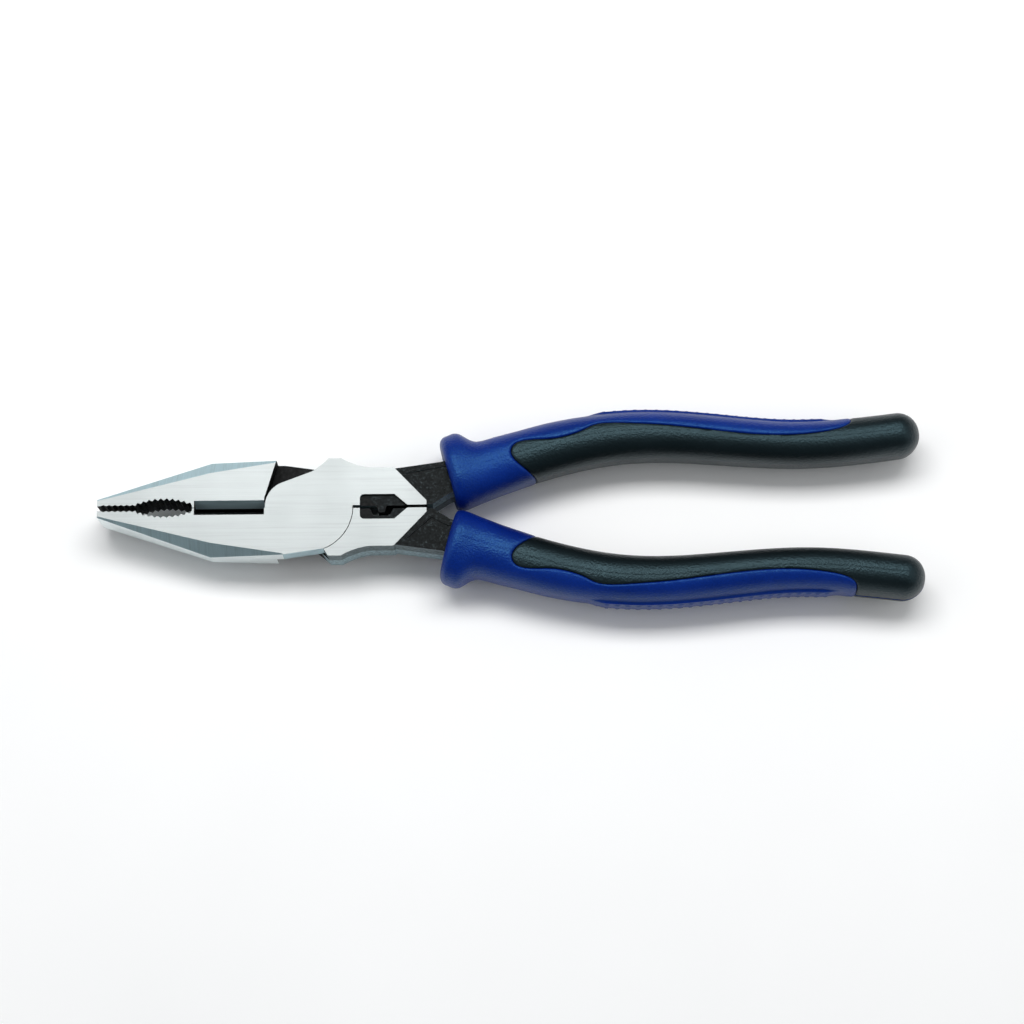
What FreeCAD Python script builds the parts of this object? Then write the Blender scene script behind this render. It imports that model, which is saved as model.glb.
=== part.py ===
import FreeCAD, Part
import os
import re

import Sketcher
from FreeCAD import Placement, Rotation, Vector

# Side-cutting pliers with a flush riveted lap joint and a crimping die behind it.
# The frame: Z is the joint's axis, z = 0 is the back face of the joint, +X runs from the joint to the
# handles and +Y towards the upper jaw. Sizes are in millimetres and are given for the closed pliers.
#
# Both halves are one design. It is drawn as the half that carries the lower jaw, the front half of the
# lap and the upper handle; the other half is the same, turned half a turn about the X axis.

SIZES = {
    # the whole tool
    "jaw_length": 54.8,
    "handle_length": 161.4,
    "body_thickness": 12.5,
    "jaw_half_width": 12.6,
    # the lap joint
    "boss_radius": 11.9,
    "boss_gap": 0.2,
    "boss_end_x": 4.4,
    "lap_gap": 0.03,
    "cheek_radius": 6.8,
    "cheek_top_x": -6.3,
    "cheek_top_y": 6.7,
    "waist_cut_x": 1.2,
    "waist_cut_y": 9.5,
    "waist_cut_radius": 20.0,
    # the rivet
    "rivet_radius": 4.6,
    "rivet_head_radius": 5.6,
    "rivet_head_depth": 1.2,
    "rivet_clearance": 0.03,
    # the jaws
    "jaw_gap": 0.1,
    "nose_gap": 0.65,
    "nose_half_width": 2.4,
    "taper_end": 25.3,
    "wall_foot": 11.2,
    "wall_foot_height": 2.5,
    "wall_top": 8.1,
    "jaw_heel": 6.3,
    "bevel_width": 3.3,
    "nose_bevel": 0.35,
    "heel_bevel": 0.3,
    # the knives
    "knife_length": 18.3,
    "knife_face_gap": 1.9,
    "knife_bevel_gap": 0.5,
    "knife_bevel_depth": 4.0,
    # the teeth of the nose and of the round grip
    "tooth_pitch": 1.52,
    "nose_tooth_depth": 0.3,
    "nose_tooth_count": 6,
    "oval_far": 44.8,
    "oval_near": 30.0,
    "oval_depth": 1.45,
    "oval_tooth_crest": 0.05,
    "oval_tooth_depth": 0.55,
    "oval_tooth_count": 10,
    # the shoulder behind the joint
    "hump_start": 1.2,
    "hump_length": 3.2,
    "hump_rise": 1.1,
    "shoulder_left": 16.4,
    "shoulder_right": 22.6,
    "shoulder_height": 10.5,
    "shoulder_radius": 19.0,
    "point_x": 31.2,
    "point_y": 1.5,
    "parting_gap": 0.38,
    # the crimping die
    "die_wall": 1.9,
    "die_length": 12.4,
    "die_straight": 9.0,
    "die_height": 3.3,
    "die_corner": 1.1,
    "die_recess": 0.9,
    "die_middle": 5.65,
    "tooth_root_width": 2.9,
    "tooth_tip_width": 1.5,
    "tooth_height": 1.8,
    "tooth_buried": 0.45,
    "nest_mouth_width": 6.2,
    "nest_floor_width": 4.2,
    "nest_depth": 1.9,
    # the neck, from the ground face into the grip
    "neck_inset": 0.35,
    "neck_rim": 1.3,
    "neck_hollow": 0.35,
    "hollow_start": 2.9,
    "hollow_drop": 1.6,
    "neck_top_x": 35.2,
    "neck_top_y": 11.9,
    "neck_low_x": 32.8,
    "neck_low_y": 0.6,
    "neck_under_x": 37.4,
    "neck_under_y": 3.5,
    "neck_end_x": 43.4,
    # the tang inside the grip
    "tang_thickness": 7.6,
    "tang_half_width": 3.6,
    "tang_root_below": 4.6,
    "tang_root_above": 1.6,
    "tang_tip_half_width": 2.9,
    "tang_tip_length": 7.2,
    # the handle's centreline and half width, from the joint's end of the grip to its tail
    "root_x": 43.2,
    "root_y": 9.8,
    "root_half": 7.3,
    "knee_x": 63.2,
    "knee_y": 15.8,
    "knee_half": 6.95,
    "belly_x": 87.3,
    "belly_y": 19.4,
    "belly_half": 6.4,
    "waist_x": 129.2,
    "waist_y": 16.95,
    "waist_half": 5.8,
    "tail_y": 19.1,
    "tail_half": 5.85,
    # the grip's section and its guard
    "grip_thickness": 17.0,
    "grip_rounding": 5.6,
    "cover_wall": 1.5,
    "guard_thickness": 20.0,
    "guard_rounding": 1.5,
    "guard_gap": 0.25,
    "guard_foot_front": 3.6,
    "guard_foot_back": 1.6,
    "guard_buried": 2.6,
    # the raised band along the grip's outer edge
    "band_left": 76.3,
    "band_right": 137.2,
    "band_width": 6.3,
    "band_height": 0.6,
}

HALF_TURN = Rotation(Vector(1, 0, 0), 180)
BEYOND = 1.0  # how far a cut runs past the surface that it opens
LEVEL = 0.5  # an edge is level when its direction rises by less than this


def make_sheet(doc):
    """The spreadsheet of driving sizes: names in column A, values in column B."""
    sheet = doc.addObject("Spreadsheet::Sheet", "Sizes")
    for row, (name, value) in enumerate(SIZES.items(), start=1):
        sheet.set(f"A{row}", name)
        sheet.set(f"B{row}", str(value))
        sheet.setAlias(f"B{row}", name)
    doc.recompute()
    return sheet


def formula(text):
    """A formula in the sheet's names, as an expression that any object can hold."""
    words = r"\b(?!(?:sqrt|pi)\b)[a-z][a-z_]+\b"
    return re.sub(words, lambda found: "Sizes." + found.group(), str(text))


def value_of(item, text):
    """The present value of a formula."""
    return float(item.evalExpression(formula(text)))


def bind(item, **formulas):
    """Ties an object's properties to formulas; a double underscore stands for a dot."""
    for name, text in formulas.items():
        item.setExpression(name.replace("__", "."), formula(text))


# ---------------------------------------------------------------- sketches


def plane_of(body, role):
    """One of the body's own origin planes."""
    return next(item for item in body.Origin.OriginFeatures if item.Role == role)


def new_sketch(body, name, role, height="0", across="0", up="0"):
    """A sketch on an origin plane of the body, moved by formulas within and off that plane."""
    sketch = body.newObject("Sketcher::SketchObject", name)
    sketch.AttachmentSupport = (plane_of(body, role), "")
    sketch.MapMode = "FlatFace"
    bind(
        sketch,
        AttachmentOffset__Base__x=across,
        AttachmentOffset__Base__y=up,
        AttachmentOffset__Base__z=height,
    )
    return sketch


def arc_between(start, end, radius, side):
    """The shorter arc between two points, bulging to the left of the way for side 1, else to the right.
    It is drawn anticlockwise, so for side 1 it runs from end to start."""
    way = end - start
    middle = (start + end) / 2
    across = Vector(-way.y, way.x, 0).normalize()
    rise = radius - (radius**2 - (way.Length / 2) ** 2) ** 0.5
    crown = middle + across * (side * rise)
    return Part.Arc(end, crown, start) if side == 1 else Part.Arc(start, crown, end)


def arc_centre(start, end, radius, side):
    """The formulas of an arc's centre, from those of its ends and of its radius."""
    way_x = f"(({end[0]}) - ({start[0]}))"
    way_y = f"(({end[1]}) - ({start[1]}))"
    reach = f"sqrt(({radius})^2 / ({way_x}^2 + {way_y}^2) - 0.25)"
    centre_x = f"(({start[0]}) + ({end[0]})) / 2 + {side} * {way_y} * {reach}"
    centre_y = f"(({start[1]}) + ({end[1]})) / 2 - {side} * {way_x} * {reach}"
    return centre_x, centre_y


def tie(sketch, kind, index, point, text):
    """Ties one coordinate of a drawn point to a formula; kind is DistanceX or DistanceY."""
    size = value_of(sketch, text)
    held = sketch.addConstraint(Sketcher.Constraint(kind, -1, 1, index, point, size))
    sketch.setExpression(f"Constraints[{held}]", formula(text))


def draw_outline(sketch, corners):
    """Draws a closed outline. A corner is (x, y) or (x, y, radius, side), where the last two make the
    stretch to the next corner an arc. Every number is a formula, and each corner stays tied to it."""
    places = [Vector(value_of(sketch, c[0]), value_of(sketch, c[1]), 0) for c in corners]
    followers = corners[1:] + corners[:1]
    ends = []
    for index, corner in enumerate(corners):
        start = places[index]
        end = places[(index + 1) % len(corners)]
        if len(corner) == 2:
            sketch.addGeometry(Part.LineSegment(start, end), False)
            ends.append((1, 2))
            continue
        arc = arc_between(start, end, value_of(sketch, corner[2]), corner[3])
        sketch.addGeometry(arc, False)
        ends.append((2, 1) if corner[3] == 1 else (1, 2))
    for index, (corner, follower) in enumerate(zip(corners, followers)):
        nearer = (index + 1) % len(corners)
        join = Sketcher.Constraint("Coincident", index, ends[index][1], nearer, ends[nearer][0])
        sketch.addConstraint(join)
        tie(sketch, "DistanceX", index, ends[index][0], corner[0])
        tie(sketch, "DistanceY", index, ends[index][0], corner[1])
        if len(corner) == 4:
            centre_x, centre_y = arc_centre(corner, follower, corner[2], corner[3])
            way = places[nearer] - places[index]
            steep = abs(way.y) > abs(way.x)
            tie(sketch, "DistanceX" if steep else "DistanceY", index, 3, centre_x if steep else centre_y)


def add_pad(body, name, corners, bottom, height):
    """Raises an outline in the XY plane from the height bottom by height."""
    sketch = new_sketch(body, name + "_outline", "XY_Plane", bottom)
    draw_outline(sketch, corners)
    pad = body.newObject("PartDesign::Pad", name)
    pad.Profile = sketch
    bind(pad, Length=height)
    return pad


def add_pocket(body, name, corners, top, depth):
    """Cuts an outline in the XY plane down from the height top by depth."""
    sketch = new_sketch(body, name + "_outline", "XY_Plane", top)
    draw_outline(sketch, corners)
    pocket = body.newObject("PartDesign::Pocket", name)
    pocket.Profile = sketch
    bind(pocket, Length=depth)
    return pocket


# ---------------------------------------------------------------- the forged halves

JOINT_LEVEL = "body_thickness / 2 + lap_gap"
DIE_LEFT = "boss_radius + die_wall"
DIE_MIDDLE = DIE_LEFT + " + die_middle"

# the outline shared by both layers of the shoulder, from the hump to the point over the parting line
SHOULDER = [
    ("boss_end_x + hump_start", "boss_radius + hump_rise"),
    ("boss_end_x + hump_start + hump_length", "boss_radius + hump_rise", "shoulder_radius", -1),
    ("shoulder_left", "shoulder_height"),
    ("shoulder_right", "shoulder_height"),
    ("point_x", "point_y"),
    ("point_x", "parting_gap"),
]

# the jaw's edge, from the end of its taper round the nose and back to the land beside the knife
JAW = [
    ("-taper_end", "-jaw_half_width"),
    ("-jaw_length", "-nose_half_width"),
    ("-jaw_length", "-nose_gap"),
    ("-oval_near", "-nose_gap"),
    ("-oval_near", "-jaw_gap"),
]

FRONT_LAYER = [
    *JAW,
    ("-(wall_foot - boss_gap)", "-jaw_gap", "cheek_radius", 1),
    ("cheek_top_x", "cheek_top_y"),
    ("waist_cut_x", "waist_cut_y", "waist_cut_radius", -1),
    *SHOULDER,
    ("sqrt(boss_radius^2 - parting_gap^2)", "parting_gap", "boss_radius", 1),
    ("boss_end_x", "-sqrt(boss_radius^2 - boss_end_x^2)"),
    ("-jaw_heel", "-jaw_half_width"),
]

JAW_LAYER = [
    *JAW,
    ("-wall_foot", "-jaw_gap"),
    ("-wall_foot", "-wall_foot_height"),
    ("-wall_top", "-jaw_half_width"),
]

NECK_LAYER = [
    *SHOULDER,
    ("sqrt((boss_radius + boss_gap)^2 - parting_gap^2)", "parting_gap", "boss_radius + boss_gap", -1),
    ("boss_end_x", "sqrt((boss_radius + boss_gap)^2 - boss_end_x^2)"),
]

NECK = [
    ("shoulder_left", "shoulder_height - neck_rim"),
    ("shoulder_right", "shoulder_height - neck_inset"),
    ("neck_top_x", "neck_top_y"),
    ("neck_end_x", "root_y + tang_half_width + neck_rim"),
    ("neck_end_x", "root_y - tang_half_width - neck_rim"),
    ("neck_under_x", "neck_under_y"),
    ("neck_low_x", "neck_low_y"),
    ("shoulder_left", "parting_gap"),
]

# the shallow hollow in the neck's face, a rim's width inside the neck's edges
NECK_HOLLOW = [
    ("shoulder_right + hollow_start", "shoulder_height - hollow_drop"),
    ("neck_top_x", "neck_top_y - neck_rim"),
    ("neck_end_x", "root_y + tang_half_width - neck_rim"),
    ("neck_end_x", "root_y - tang_half_width + neck_rim"),
    ("neck_under_x - neck_rim", "neck_under_y + neck_rim"),
    ("point_x + neck_rim", "point_y + neck_rim"),
]

TANG = [
    ("neck_top_x", "root_y - tang_root_below"),
    ("neck_top_x", "root_y + tang_root_above"),
    ("knee_x", "knee_y + tang_half_width"),
    ("belly_x", "belly_y + tang_half_width"),
    ("waist_x", "waist_y + tang_tip_half_width"),
    ("waist_x + tang_tip_length", "waist_y"),
    ("waist_x", "waist_y - tang_tip_half_width"),
    ("belly_x", "belly_y - tang_half_width"),
    ("knee_x", "knee_y - tang_half_width"),
]


def corner_section(body, name, along, wall, width, face):
    """The right-angled triangle that a bevel of the given width takes off the jaw's outer edge, at the
    place along the X axis. face is 1 at the front face and -1 at the back face."""
    sketch = new_sketch(body, name, "YZ_Plane", along)
    edge = "body_thickness" if face == 1 else "0"
    sign = "+" if face == 1 else "-"
    back = "-" if face == 1 else "+"
    draw_outline(
        sketch,
        [
            (f"-({wall}) - {BEYOND}", f"{edge} {sign} {BEYOND}"),
            (f"-({wall}) + {width} + {BEYOND}", f"{edge} {sign} {BEYOND}"),
            (f"-({wall}) - {BEYOND}", f"{edge} {back} {width} {back} {BEYOND}"),
        ],
    )
    return sketch


def cut_edge_bevels(body):
    """The tapered bevels along the jaw's outer edges, widest where the nose's taper ends."""
    for face, side in ((1, "front"), (-1, "back")):
        for end, along, wall, width in (
            ("nose", "-jaw_length", "nose_half_width", "nose_bevel"),
            ("heel", "-jaw_heel", "jaw_half_width", "heel_bevel"),
        ):
            name = f"bevel_{side}_{end}"
            wide = corner_section(body, name + "_wide", "-taper_end", "jaw_half_width", "bevel_width", face)
            narrow = corner_section(body, name + "_narrow", along, wall, width, face)
            loft = body.newObject("PartDesign::SubtractiveLoft", name)
            loft.Profile = wide
            loft.Sections = [narrow]
            loft.Ruled = True


def cut_knife(body):
    """Grinds the knife: a steep bevel down from each face, then a shallow one to the edge."""
    sketch = new_sketch(body, "knife_section", "YZ_Plane", "-wall_foot")
    lean = "(knife_face_gap - knife_bevel_gap) / knife_bevel_depth"
    draw_outline(
        sketch,
        [
            (f"{BEYOND}", f"-{BEYOND}"),
            (f"-knife_face_gap - {BEYOND} * {lean}", f"-{BEYOND}"),
            ("-knife_bevel_gap", "knife_bevel_depth"),
            ("-jaw_gap", "body_thickness / 2"),
            ("-knife_bevel_gap", "body_thickness - knife_bevel_depth"),
            (f"-knife_face_gap - {BEYOND} * {lean}", f"body_thickness + {BEYOND}"),
            (f"{BEYOND}", f"body_thickness + {BEYOND}"),
        ],
    )
    knife = body.newObject("PartDesign::Pocket", "knife")
    knife.Profile = sketch
    bind(knife, Length="knife_length")


def cut_nose_teeth(body):
    """A row of V notches across the nose's closing face."""
    sketch = new_sketch(body, "nose_notch", "XY_Plane", "body_thickness", "-oval_far - tooth_pitch / 2")
    draw_outline(
        sketch,
        [
            ("-tooth_pitch / 2", f"{BEYOND}"),
            ("-tooth_pitch / 2", "-nose_gap"),
            ("0", "-nose_gap - nose_tooth_depth"),
            ("tooth_pitch / 2", "-nose_gap"),
            ("tooth_pitch / 2", f"{BEYOND}"),
        ],
    )
    notch = body.newObject("PartDesign::Pocket", "nose_notch_cut")
    notch.Profile = sketch
    bind(notch, Length="body_thickness")
    body.Document.recompute()
    teeth = body.newObject("PartDesign::LinearPattern", "nose_teeth")
    teeth.Originals = [notch]
    teeth.Direction = (sketch, ["H_Axis"])
    teeth.Reversed = True
    bind(teeth, Length="(nose_tooth_count - 1) * tooth_pitch", Occurrences="nose_tooth_count")
    body.Tip = teeth


def cut_round_grip(body):
    """The hollow for round stock, and the V notches along its arc."""
    half = "((oval_far - oval_near) / 2)"
    radius = f"(({half}^2 + oval_depth^2) / (2 * oval_depth))"
    add_pocket(
        body,
        "round_grip",
        [
            ("-oval_far", "-nose_gap", radius, -1),
            ("-oval_near", "-nose_gap"),
            ("-oval_near", f"{BEYOND}"),
            ("-oval_far", f"{BEYOND}"),
        ],
        "body_thickness",
        "body_thickness",
    )
    step = f"(360 * tooth_pitch / (2 * pi * {radius}))"
    middle = "-(oval_far + oval_near) / 2"
    sketch = new_sketch(
        body, "grip_notch", "XY_Plane", "body_thickness", middle, f"{radius} - oval_depth - nose_gap"
    )
    first = f"-(oval_tooth_count - 1) / 2 * {step}"
    turn = Rotation(Vector(0, 0, 1), value_of(sketch, first))
    sketch.AttachmentOffset = Placement(sketch.AttachmentOffset.Base, turn)
    bind(sketch, AttachmentOffset__Rotation__Angle=first)
    draw_outline(
        sketch,
        [
            ("-tooth_pitch / 2", f"-{radius} + oval_tooth_depth"),
            ("-tooth_pitch / 2", f"-{radius} + oval_tooth_crest"),
            ("0", f"-{radius} - oval_tooth_depth"),
            ("tooth_pitch / 2", f"-{radius} + oval_tooth_crest"),
            ("tooth_pitch / 2", f"-{radius} + oval_tooth_depth"),
        ],
    )
    notch = body.newObject("PartDesign::Pocket", "grip_notch_cut")
    notch.Profile = sketch
    bind(notch, Length="body_thickness")
    body.Document.recompute()
    teeth = body.newObject("PartDesign::PolarPattern", "grip_teeth")
    teeth.Originals = [notch]
    teeth.Axis = (sketch, ["N_Axis"])
    bind(teeth, Angle=f"(oval_tooth_count - 1) * {step}", Occurrences="oval_tooth_count")
    body.Tip = teeth


def cut_die_recess(body):
    """Sinks the crimping die into both faces of the shoulder, and the hollows into the neck."""
    recess = [
        (DIE_LEFT, f"-{BEYOND}"),
        (DIE_LEFT, "die_height - die_corner", "die_corner", 1),
        (DIE_LEFT + " + die_corner", "die_height"),
        (DIE_LEFT + " + die_straight", "die_height"),
        (DIE_LEFT + " + die_length", "parting_gap"),
        (DIE_LEFT + " + die_length", f"-{BEYOND}"),
    ]
    add_pocket(body, "die_recess_front", recess, "body_thickness", "die_recess")
    add_pocket(body, "die_recess_back", recess, "die_recess", "die_recess")
    depth = "neck_inset + neck_hollow"
    add_pocket(body, "neck_hollow_front", NECK_HOLLOW, "body_thickness", depth)
    add_pocket(body, "neck_hollow_back", NECK_HOLLOW, depth, depth)


def add_die_tooth(body):
    """The tooth of the crimping die, pointing down from the parting edge."""
    tooth = [
        (f"{DIE_MIDDLE} - tooth_root_width / 2", "parting_gap + tooth_buried"),
        (f"{DIE_MIDDLE} + tooth_root_width / 2", "parting_gap + tooth_buried"),
        (f"{DIE_MIDDLE} + tooth_tip_width / 2", "parting_gap - tooth_height"),
        (f"{DIE_MIDDLE} - tooth_tip_width / 2", "parting_gap - tooth_height"),
    ]
    add_pad(body, "die_tooth", tooth, "die_recess", "body_thickness - 2 * die_recess")


def cut_die_nest(body):
    """The nest of the crimping die, cut into the parting edge."""
    nest = [
        (f"{DIE_MIDDLE} - nest_mouth_width / 2", f"-{BEYOND}"),
        (f"{DIE_MIDDLE} - nest_mouth_width / 2", "parting_gap"),
        (f"{DIE_MIDDLE} - nest_floor_width / 2", "parting_gap + nest_depth"),
        (f"{DIE_MIDDLE} + nest_floor_width / 2", "parting_gap + nest_depth"),
        (f"{DIE_MIDDLE} + nest_mouth_width / 2", "parting_gap"),
        (f"{DIE_MIDDLE} + nest_mouth_width / 2", f"-{BEYOND}"),
    ]
    add_pocket(body, "die_nest", nest, "body_thickness", "body_thickness")


def rivet_profile(clearance):
    """Half the rivet's section in the XZ plane, with its two countersunk heads, grown by a clearance."""
    return [
        ("0", "0"),
        (f"rivet_head_radius + {clearance}", "0"),
        (f"rivet_radius + {clearance}", "rivet_head_depth"),
        (f"rivet_radius + {clearance}", "body_thickness - rivet_head_depth"),
        (f"rivet_head_radius + {clearance}", "body_thickness"),
        ("0", "body_thickness"),
    ]


def turn_profile(body, kind, name, corners):
    """Turns an outline in the XZ plane about the joint's axis, to add it or to cut it away."""
    sketch = new_sketch(body, name + "_profile", "XZ_Plane")
    draw_outline(sketch, corners)
    turned = body.newObject("PartDesign::" + kind, name)
    turned.Profile = sketch
    turned.ReferenceAxis = (sketch, ["V_Axis"])
    turned.Angle = 360
    return turned


def make_half(doc, name, crimp, clearance):
    """One forged half, in the place of the front one."""
    body = doc.addObject("PartDesign::Body", name)
    body.Label = name
    add_pad(body, "front_layer", FRONT_LAYER, JOINT_LEVEL, "body_thickness / 2 - lap_gap")
    add_pad(body, "jaw_layer", JAW_LAYER, "0", JOINT_LEVEL)
    add_pad(body, "neck_layer", NECK_LAYER, "0", JOINT_LEVEL)
    add_pad(body, "neck", NECK, "neck_inset", "body_thickness - 2 * neck_inset")
    add_pad(body, "tang", TANG, "(body_thickness - tang_thickness) / 2", "tang_thickness")
    cut_edge_bevels(body)
    cut_knife(body)
    cut_nose_teeth(body)
    cut_round_grip(body)
    cut_die_recess(body)
    crimp(body)
    turn_profile(body, "Groove", "rivet_hole", rivet_profile(clearance))
    doc.recompute()
    return body


def make_rivet(doc):
    """The joint's rivet, ground flush with both faces."""
    body = doc.addObject("PartDesign::Body", "joint_rivet")
    body.Label = "joint_rivet"
    turn_profile(body, "Revolution", "rivet", rivet_profile("0"))
    doc.recompute()
    return body


# ---------------------------------------------------------------- the two-part grips

SEARCH_STEPS = 8  # the steps that find a place along a curve
BAND_STATIONS = 6  # the points that the band's curve runs through
END_SETBACK = 2  # how far a shrunk bar's front end lies behind the full one's, as a share of the inset
ZONE_MARGIN = 3  # how far the cover's block runs past the grip, as a share of its half width

# the guard's flared lip: the distance along X from the handle's root, and the rise beyond the half width
GUARD_LIP = [(-8.1, -0.8), (-7.3, 1.6), (-4.9, 3.1), (-2.4, 2.5), (0.0, 0.7)]

# the border between cover and core: the share of the grip's length, and the offset beside the centreline
# as a share of the half width at the knee
COVER_BORDER = [
    (0.125, -1.3),
    (0.100, -0.6),
    (0.084, 0.0),
    (0.100, 0.42),
    (0.180, 0.16),
    (0.285, 0.45),
    (0.390, 0.29),
    (0.570, 0.09),
    (0.680, 0.11),
    (0.790, 0.28),
    (0.835, 0.55),
    (0.848, 1.6),
]


def handle_line(size):
    """The centreline of the upper handle, as one smooth curve in the XY plane."""
    stops = [
        Vector(size["root_x"], size["root_y"], 0),
        Vector(size["knee_x"], size["knee_y"], 0),
        Vector(size["belly_x"], size["belly_y"], 0),
        Vector(size["waist_x"], size["waist_y"], 0),
        Vector(size["handle_length"] - size["tail_half"], size["tail_y"], 0),
    ]
    return smooth(stops)


def across_line(line, along, offset):
    """The point beside the centreline at a place along X, offset to its upper side."""
    parameter = line.parameter(Vector(along, 0, 0))
    for _ in range(SEARCH_STEPS):
        point, slope = line.getD1(parameter)
        parameter += (along - point.x) / slope.x
    point, slope = line.getD1(parameter)
    across = Vector(-slope.y, slope.x, 0).normalize()
    return point + across * offset


def smooth(points):
    """A smooth curve through the points."""
    curve = Part.BSplineCurve()
    curve.interpolate(points)
    return curve


def raised(edges, bottom, height):
    """A solid raised from a closed outline."""
    face = Part.Face(Part.Wire(edges))
    face.translate(Vector(0, 0, bottom))
    return face.extrude(Vector(0, 0, height))


def grip_stations(size):
    """The places along X where the handle's half width is set, each with its half width."""
    return [
        (size["root_x"], size["root_half"]),
        (size["knee_x"], size["knee_half"]),
        (size["belly_x"], size["belly_half"]),
        (size["waist_x"], size["waist_half"]),
        (size["handle_length"] - size["tail_half"], size["tail_half"]),
    ]


def grip_edge(size, offset):
    """Points along one long edge of the handle in plan. offset turns a half width into the distance
    beside the centreline, which is negative on its lower side."""
    line = handle_line(size)
    return [across_line(line, x, offset(half)) for x, half in grip_stations(size)]


def grip_blank(size, inset):
    """The handle's rounded bar, from the guard to the tail, shrunk by an inset on every side."""
    outer = grip_edge(size, lambda half: half - inset)
    inner = grip_edge(size, lambda half: inset - half)
    setback = Vector(END_SETBACK * inset, 0, 0)
    outer[0] += setback
    inner[0] += setback
    last = (outer[-1] + inner[-1]) / 2
    heading = (outer[-1] - inner[-1]).cross(Vector(0, 0, 1)).normalize()
    tip = last + heading * (size["tail_half"] - inset)
    edges = [
        smooth(outer).toShape(),
        Part.Arc(outer[-1], tip, inner[-1]).toShape(),
        smooth(inner[::-1]).toShape(),
        Part.LineSegment(inner[0], outer[0]).toShape(),
    ]
    height = size["grip_thickness"] - 2 * inset
    bar = raised(edges, (size["body_thickness"] - height) / 2, height)
    rims = [e for e in bar.Edges if is_level(e) and not is_end_edge(e, size)]
    return bar.makeFillet(size["grip_rounding"] - inset, rims)


def is_level(edge):
    """Whether an edge of a raised solid lies in its top or bottom face."""
    return abs(edge.tangentAt(edge.FirstParameter).z) < LEVEL


def is_end_edge(edge, size):
    """Whether an edge of the bar lies on its square front end."""
    return edge.BoundBox.XMax < size["root_x"] + 2 * size["root_half"]


def guard_blank(size):
    """The flared guard at the joint's end of the grip, which keeps the hand off the joint."""
    low = size["guard_gap"]
    root = Vector(size["root_x"], size["root_y"], 0)
    half = size["root_half"]
    lip = [root + Vector(along, half + rise, 0) for along, rise in GUARD_LIP]
    front_low = Vector(root.x - size["guard_foot_front"], low, 0)
    under = Vector(root.x - size["guard_foot_back"], low, 0)
    buried = size["guard_buried"]
    inside_high = root + Vector(buried, half - buried, 0)
    inside_low = root + Vector(buried, size["cover_wall"] - half, 0)
    tail = [lip[-1], inside_high, inside_low, under, front_low, lip[0]]
    edges = [smooth(lip).toShape()]
    edges += [Part.LineSegment(a, b).toShape() for a, b in zip(tail, tail[1:])]
    height = size["guard_thickness"]
    guard = raised(edges, (size["body_thickness"] - height) / 2, height)
    rims = [e for e in guard.Edges if is_level(e) and e.CenterOfMass.x < root.x]
    return guard.makeFillet(size["guard_rounding"], rims)


def cover_zone(size):
    """The block that holds all of the cover: the guard's end of the grip and a strip along its outer
    edge. Its inner border waves along the handle."""
    line = handle_line(size)
    span = size["handle_length"] - size["root_x"]
    half = size["knee_half"]
    wave = [across_line(line, size["root_x"] + part * span, share * half) for part, share in COVER_BORDER]
    margin = ZONE_MARGIN * half
    rim = size["belly_y"] + margin
    far = [
        wave[-1],
        Vector(wave[-1].x, rim, 0),
        Vector(size["root_x"] - margin, rim, 0),
        Vector(size["root_x"] - margin, -half, 0),
        Vector(wave[0].x, -half, 0),
        wave[0],
    ]
    edges = [smooth(wave).toShape()] + [Part.LineSegment(a, b).toShape() for a, b in zip(far, far[1:])]
    height = 2 * size["guard_thickness"]
    return raised(edges, (size["body_thickness"] - height) / 2, height)


def band(size):
    """The raised band along the grip's outer edge."""
    edge = smooth(grip_edge(size, lambda half: half))
    step = (size["band_right"] - size["band_left"]) / (BAND_STATIONS - 1)
    places = [size["band_left"] + step * index for index in range(BAND_STATIONS)]
    high = [across_line(edge, x, size["band_height"]) for x in places]
    low = [across_line(edge, x, -size["cover_wall"]) for x in places]
    edges = [
        smooth(high).toShape(),
        Part.LineSegment(high[-1], low[-1]).toShape(),
        smooth(low[::-1]).toShape(),
        Part.LineSegment(low[0], high[0]).toShape(),
    ]
    width = size["band_width"]
    return raised(edges, (size["body_thickness"] - width) / 2, width)


def make_grip(doc, size, half, names):
    """The hard core and the soft cover that are moulded round one half's tang."""
    outer = grip_blank(size, 0)
    inner = grip_blank(size, size["cover_wall"])
    whole = outer.fuse([guard_blank(size), band(size)])
    zone = cover_zone(size)
    forging = half.Shape.copy()
    forging.Placement = Placement()
    shapes = {
        "core": outer.cut(zone).fuse(inner).cut(forging).removeSplitter(),
        "cover": whole.common(zone).cut(inner).cut(forging).removeSplitter(),
    }
    pieces = []
    for kind, name in names.items():
        piece = doc.addObject("Part::Feature", name)
        piece.Label = name
        shape = shapes[kind]
        piece.Shape = shape.Solids[0] if len(shape.Solids) == 1 else shape
        piece.Placement = half.Placement
        pieces.append(piece)
    return pieces


# ---------------------------------------------------------------- the assembly


def check(doc, parts):
    """Stops if an object failed or a sub-part isn't a sound solid."""
    for item in doc.Objects:
        if {"Invalid", "Error"} & set(item.State):
            raise RuntimeError(f"{item.Label} failed: {item.State}")
    for part in parts:
        shape = part.Shape
        if shape.isNull() or not shape.isValid() or not shape.Solids:
            raise RuntimeError(f"{part.Label} has no valid solid")
        print(f"{part.Label}: {len(shape.Solids)} solid, {shape.Volume:.0f} mm3")


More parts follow.
